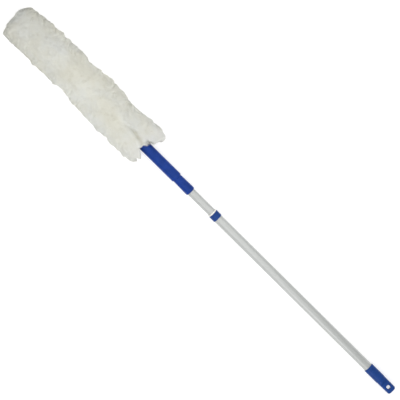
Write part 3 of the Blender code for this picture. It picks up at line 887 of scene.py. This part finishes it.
def tuft_mesh(name, roots, leave, lean, length, thick, light, facing, random):
    """Curved, tapering locks of pile: each leaves along leave and bends over towards lean.

    Their normals lean to facing, the way that the pile as a whole faces, because fibres scatter light softly.
    """
    count = len(roots)
    side = unit(np.cross(leave, lean + 1e-4 * random.standard_normal((count, 3))))
    front = unit(np.cross(leave, side))
    spin = TAU * random.random(count)
    rings = []
    for share, width in zip(LOCK_SHARES, LOCK_WIDTHS):
        centre = roots + leave * (length * share)[:, None] + lean * (share**2)
        for corner in range(3):
            turn = spin + TAU * corner / 3
            offset = np.cos(turn)[:, None] * side + np.sin(turn)[:, None] * front
            rings.append(centre + offset * (thick * width)[:, None])
    rings.append(roots + leave * length[:, None] + lean)
    points = np.stack(rings, 1)
    size = points.shape[1]
    first = (np.arange(count) * size)[:, None, None]
    faces = [first + own[None] for own in (grid_faces(3, 3), np.array(LOCK_TRIANGLES))]
    flat = points.reshape(-1, 3)
    flat[:, 2] = np.maximum(flat[:, 2], 0.25 * MM + 0.1 * MM * random.random(len(flat)))
    made = facing_out(mesh_object(name, flat, [face.reshape(-1, face.shape[-1]) for face in faces], TUFT))
    made.data.shade_smooth()
    own = np.empty(len(flat) * 3, np.float32)
    made.data.vertex_normals.foreach_get("vector", own)
    soft = unit(0.42 * own.reshape(-1, 3) + np.repeat(facing, size, 0))
    made.data.normals_split_custom_set_from_vertices(soft)
    return with_light(made, np.repeat(light, size))


def clumps_at(roots):
    """For each root: the middle of its clump, how light the clump is and how the pile flows there."""
    middles = np.empty_like(roots)
    mottle = np.empty(len(roots))
    flows = np.empty_like(roots)
    for i, root in enumerate(roots):
        p = Vector(root * STRETCH)
        middles[i] = noise.voronoi((p + Vector((SHIFT, SHIFT, SHIFT))) / CLUMP)[1][0]
        mottle[i] = noise.noise(Vector(middles[i]) * 1.1)
        flows[i] = noise.noise_vector(p / 0.030)
    return (middles * CLUMP - SHIFT) / STRETCH, mottle, flows


def make_tufts(grid, light):
    """Locks over the whole sleeve, combed outwards and to the mouth, and drawn together in clumps."""
    random = np.random.default_rng(11)
    where = surface_samples(grid, TUFTS, random)
    roots = on_grid(grid, *where)
    leave = unit(on_grid(normals_of(grid), *where))
    middles, mottle, flows = clumps_at(roots)
    # the fold's painted shade, times a random tone for each clump and each lock
    shade = on_grid(light, *where) * (0.955 + 0.125 * mottle + 0.015 * random.standard_normal(TUFTS))
    pull = middles - roots
    pull *= np.minimum(1, 0.0035 / np.maximum(np.linalg.norm(pull, axis=-1, keepdims=True), 1e-9)) * 0.35
    outwards = np.sign(roots[:, 1:2]) * (0, 1, 0) * smooth(np.abs(roots[:, 1:2]) / 0.02)
    flow = flows * 0.0034 + 0.0024 * outwards + (0.0022, 0, 0) + random.standard_normal(roots.shape) * 0.0007
    lean = pull + flow
    lean -= leave * np.sum(lean * leave, -1, keepdims=True)
    high = smooth((roots[:, 2] - 0.003) / 0.010)
    length = random.uniform(0.0012, 0.0024, TUFTS) * (0.3 + 0.7 * high)
    lean *= (0.4 + 0.6 * high)[:, None]
    thick = random.uniform(0.0005, 0.0008, TUFTS)
    roots = roots - leave * 0.0006
    near_mouth = smooth((roots[:, 0] - TIP - MOUTH_MIDDLE + 0.012) / 0.012)
    at_mouth = near_mouth * smooth((roots[:, 2] - AXIS_Z) / 0.006)
    facing = unit(leave + (0.35 + 1.4 * at_mouth)[:, None] * (0, 0, 1))
    order = np.argsort(roots[:, 0])
    pieces = []
    for number, part in enumerate(np.array_split(order, TUFT_PIECES), start=1):
        own = (values[part] for values in (roots, leave, lean, length, thick, shade, facing))
        pieces.append(tuft_mesh(f"sleeve_pile_{number}", *own, random))
    return pieces


def make_fringe():
    """Loose locks at the mouth that lie over the top of the handle, longer on its right."""
    random = np.random.default_rng(5)
    count = FRINGE_LOCKS
    turn = np.radians(92 - 164 * random.random(count) ** 1.35)
    degrees = np.degrees(turn)
    spread = 1.2 + 3.6 * smooth((np.abs(degrees) - 20) / 35)
    spread += 5.0 * smooth((degrees - 12) / 20) * smooth((85 - degrees) / 20)
    radius = GRIP_R + (0.9 + spread * random.random(count)) * MM
    around = np.stack([np.zeros(count), np.sin(turn), np.cos(turn)], -1)
    roots = (TIP + MOUTH_MIDDLE - 5.0 * MM, 0, AXIS_Z) + around * radius[:, None]
    right = smooth((degrees + 4) / 22)
    length = 5.6 + 2.6 * random.random(count) + 10.5 * right * random.random(count) ** 1.2
    length = (length + 3.5 * smooth((degrees - 38) / 15)) * MM
    sideways = np.cross(around, (1, 0, 0))
    leave = unit((1, 0, 0) + 0.10 * random.standard_normal((count, 1)) * sideways)
    droop = 0.35 * MM + 0.45 * (radius - GRIP_R - 0.9 * MM)
    lean = random.standard_normal((count, 1)) * 0.9 * MM * sideways - around * droop[:, None]
    thick = random.uniform(0.0004, 0.0007, count)
    return tuft_mesh("sleeve_fringe", roots, leave, lean, length, thick, np.ones(count), around, random)


def make_sleeve():
    """The pile, its locks and fringe ride on the knitted backing, which is stretched over the core."""
    outside, light = pile_surface()
    inside = pocket_grid(PILE_INNER_ROWS, CLOTH_THICK + 0.3 * MM)
    pile = shell_object("sleeve_pile_base", outside, inside, PILE)
    # the pocket's inside gets painted shade
    inside_light = np.full(inside.shape[0] * COLUMNS, POCKET_SHADE)
    with_light(pile, np.concatenate([light.ravel(), inside_light, [light[0].mean(), POCKET_SHADE]]))
    around, within = pocket_grid(CLOTH_ROWS, CLOTH_THICK), pocket_grid(CLOTH_ROWS, 0.0)
    cloth = shell_object("sleeve_backing", around, within, BACKING)
    pieces = [pile] + make_tufts(outside, light) + [make_fringe()]
    for piece in pieces + [cloth]:
        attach(piece, "sleeve")
    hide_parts("sleeve")


# ---------------------------------------------------------------- the foam pads
FOAM_COLUMNS, FOAM_CORNER = 160, 0.0011
FACE_INSETS = (0.003, 0.006, 0.010, 0.016, 0.024)  # of the rings across the pad's face


def pad_outline(low, high):
    """(x, y, outward x, outward y) round a pad that is square at the handle and half round at the tip."""
    half = (high.y - low.y) / 2
    straight = high.x - (low.x + half)
    bend = math.pi * half
    perimeter = 2 * straight + 2 * half + bend
    outline = []
    for i in range(FOAM_COLUMNS):
        at = perimeter * i / FOAM_COLUMNS
        if at < straight:
            outline.append((low.x + half + straight - at, half, 0.0, 1.0))
        elif at < straight + bend:
            turn = (at - straight) / half
            x, y = low.x + half - half * math.sin(turn), half * math.cos(turn)
            outline.append((x, y, -math.sin(turn), math.cos(turn)))
        elif at < 2 * straight + bend:
            outline.append((low.x + half + at - straight - bend, -half, 0.0, -1.0))
        else:
            outline.append((high.x, -half + at - 2 * straight - bend, 1.0, 0.0))
    return np.array(outline)


def make_foam(node, name):
    """A foam pad glued to the board, with rounded cut edges and a slightly dimpled face."""
    low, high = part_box(node)
    up = 1 if low.z > AXIS_Z else -1
    thick = (high.z - low.z) / MM
    corner = FOAM_CORNER / MM
    glued = low.z if up > 0 else high.z
    outline = pad_outline(low, high)
    levels = [(0.0, 0.0002), (0.5, 0.0)]  # (height in mm, inset)
    for turn in np.linspace(0, math.pi / 2, 5):
        levels.append((thick - corner + corner * math.sin(turn), FOAM_CORNER * (1 - math.cos(turn))))
    rings = []
    for height, inset in levels:
        across = outline[:, :2] - outline[:, 2:] * inset
        rings.append(np.column_stack([across, np.full(FOAM_COLUMNS, glued + up * height * MM)]))
    edge = rings[-1]
    for inset in FACE_INSETS:
        ring = edge.copy()
        ring[:, :2] -= outline[:, 2:] * inset
        ring[:, 2] -= up * 0.00025 * smooth(inset / 0.016)
        rings.append(ring)
    grid = np.array(rings)
    dimple = sampled(lambda p: noise.noise(p / 0.009), grid) * 0.00012
    dimple[:2] = 0
    grid[..., 2] += dimple
    made = mesh_object(name, grid.reshape(-1, 3), [grid_faces(len(rings), FOAM_COLUMNS)], FOAM)
    softened(filled(made, triangulate=True), 50)
    stand_in(made, node, "wand")


# ---------------------------------------------------------------- the CAD's own pieces
CAD_LOOKS = {
    NYLON: ("core_board", "neck_clamp_top", "neck_clamp_bottom", "lock_plug", "cone_nut"),
    STEEL: (
        "bend_strip",
        "neck_screw_1",
        "neck_screw_2",
        "grip_screw",
        "tip_rivet",
        "cap_rivet",
        "stop_screw",
    ),
    RUBBER: ("seat_washer", "expander_ring"),
}


def finish_cad_pieces():
    """Better materials for the CAD pieces that stay, and small bevels on their edges."""
    for look, names in CAD_LOOKS.items():
        for name in names:
            piece = nodes[name]
            for place in piece.material_slots:
                place.material = look
            bevel = piece.modifiers.new("worn_edges", "BEVEL")
            bevel.width = 0.25 * MM
            bevel.segments = 2
            bevel.limit_method = "ANGLE"
            bevel.angle_limit = math.radians(40)


# ---------------------------------------------------------------- the floor, lights and camera
FLOOR_REACH = 30.0
# (name, place, size, watts)
LAMPS = (
    ("overhead", (0.20, 0.0, 1.5), (3.0, 0.9), 13.7),
    ("head_left", (-0.55, -1.0, 1.0), (0.6, 0.6), 2.4),
    ("middle_right", (-0.05, 1.1, 0.8), (0.6, 0.6), 2.2),
    ("pole_left", (0.78, -1.0, 0.8), (0.6, 0.6), 4.0),
    ("tip", (-1.40, 0.0, 0.6), (0.6, 0.6), 2.4),
)


def make_floor():
    look, _, shader = new_material("studio_floor", (0.62, 0.62, 0.62), 0.9)
    shader.inputs["Specular IOR Level"].default_value = 0.1
    shader.inputs["Emission Color"].default_value = (1, 1, 1, 1)
    shader.inputs["Emission Strength"].default_value = 0.54
    corners = [(x * FLOOR_REACH, y * FLOOR_REACH, 0) for x, y in ((-1, -1), (1, -1), (1, 1), (-1, 1))]
    floor = mesh_object("studio_floor", corners, [np.array([[0, 1, 2, 3]])], look)


def make_world():
    world = bpy.data.worlds.new("studio")
    world.use_nodes = True
    background = world.node_tree.nodes["Background"]
    background.inputs["Color"].default_value = (1, 1, 1, 1)
    background.inputs["Strength"].default_value = 0.56
    bpy.context.scene.world = world


def make_lamps():
    """Soft lamps, each turned to the middle of the scene."""
    for name, at, size, watts in LAMPS:
        data = bpy.data.lights.new(name, "AREA")
        data.shape = "RECTANGLE"
        data.size, data.size_y = size
        data.energy = watts
        lamp = bpy.data.objects.new(name, data)
        lamp.location = at
        lamp.rotation_euler = (Vector((0, 0, 0)) - Vector(at)).to_track_quat("-Z", "Y").to_euler()
        bpy.context.scene.collection.objects.link(lamp)


def make_camera():
    """A long lens, nearly overhead and leaning towards the sleeve, with the pole on the diagonal."""
    tilt, roll = math.radians(9), math.radians(44.7)
    frame_width, lens, sensor = 1.067, 500.0, 36.0
    target = Vector((-0.0122, 0.0014, AXIS_Z))
    forward = Vector((math.sin(tilt), 0, -math.cos(tilt)))
    along, across = Vector((math.cos(tilt), 0, math.sin(tilt))), Vector((0, 1, 0))
    right = math.cos(roll) * along + math.sin(roll) * across
    up = -math.sin(roll) * along + math.cos(roll) * across
    distance = frame_width * lens / sensor
    data = bpy.data.cameras.new("photographer")
    data.lens, data.sensor_width = lens, sensor
    data.clip_start, data.clip_end = 0.1, 100
    camera = bpy.data.objects.new("photographer", data)
    turn = Matrix((right, up, -forward)).transposed().to_4x4()
    camera.matrix_world = Matrix.Translation(target - forward * distance) @ turn
    bpy.context.scene.collection.objects.link(camera)
    bpy.context.scene.camera = camera
    bpy.context.scene.view_settings.view_transform = "Standard"


make_camera()
make_floor()
make_world()
make_lamps()
make_tubes()
make_collar()
make_collar_bush()
make_grip()
make_thread_bush()
make_adapter()
make_cap()
make_foam("foam_pad_top", "foam_pad_upper")
make_foam("foam_pad_bottom", "foam_pad_lower")
finish_cad_pieces()
make_sleeve()
